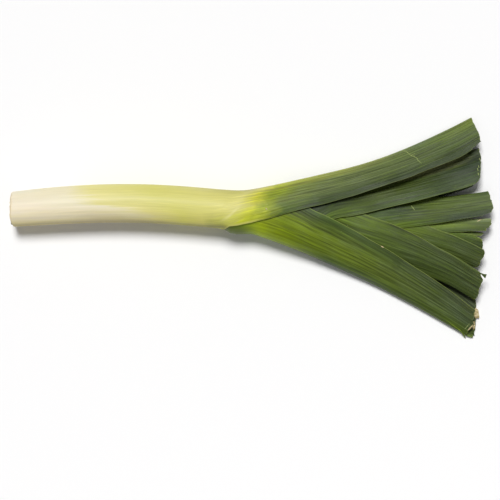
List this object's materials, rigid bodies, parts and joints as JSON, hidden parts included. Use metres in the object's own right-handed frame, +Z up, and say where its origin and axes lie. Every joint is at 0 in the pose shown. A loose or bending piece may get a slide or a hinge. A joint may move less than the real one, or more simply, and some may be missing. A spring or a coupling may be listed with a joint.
{
  "type": "leek",
  "caption": "Whole trimmed leek lying flat: a pale sheathed shank with a cut root end that opens into a flat fan of folded dark green leaves with cut tips.",
  "frame": {"origin": "centre of the bounding box at its underside, on the surface the leek rests on", "axes": "+X from the cut root end along the shank to the leaf tips, +Y towards the outermost leaf's keel across the leaf fan, +Z up from the surface"},
  "size_m": [0.41, 0.1882, 0.0334],
  "materials": {
    "basal_plate": "matt corky cream plant tissue with cut root stubs",
    "leaf_1_outermost": "waxy satin leaf, cream at the root end through pale yellow-green to dark green blade, fine lengthwise veins",
    "leaf_2": "waxy satin leaf, cream at the root end through pale yellow-green to dark green blade, fine lengthwise veins",
    "leaf_3": "waxy satin leaf, cream at the root end through pale yellow-green to dark green blade, fine lengthwise veins",
    "leaf_4": "waxy satin leaf, cream at the root end through pale yellow-green to dark green blade, fine lengthwise veins",
    "leaf_5": "waxy satin leaf, cream at the root end through pale yellow-green to dark green blade, fine lengthwise veins",
    "leaf_6": "waxy satin leaf, cream at the root end through pale yellow-green to dark green blade, fine lengthwise veins",
    "leaf_7": "waxy satin leaf, cream at the root end through pale yellow-green to dark green blade, fine lengthwise veins",
    "leaf_8": "waxy satin leaf, cream at the root end through pale yellow-green to dark green blade, fine lengthwise veins",
    "leaf_9_heart": "waxy satin leaf, cream at the root end through pale yellow-green to dark green blade, fine lengthwise veins"
  },
  "bodies": {
    "root": {"basal_plate": "basal_plate", "leaf_1_outermost": "leaf_1_outermost", "leaf_2": "leaf_2", "leaf_3": "leaf_3", "leaf_4": "leaf_4", "leaf_5": "leaf_5", "leaf_6": "leaf_6", "leaf_7": "leaf_7", "leaf_8": "leaf_8", "leaf_9_heart": "leaf_9_heart"}
  },
  "joints": []
}
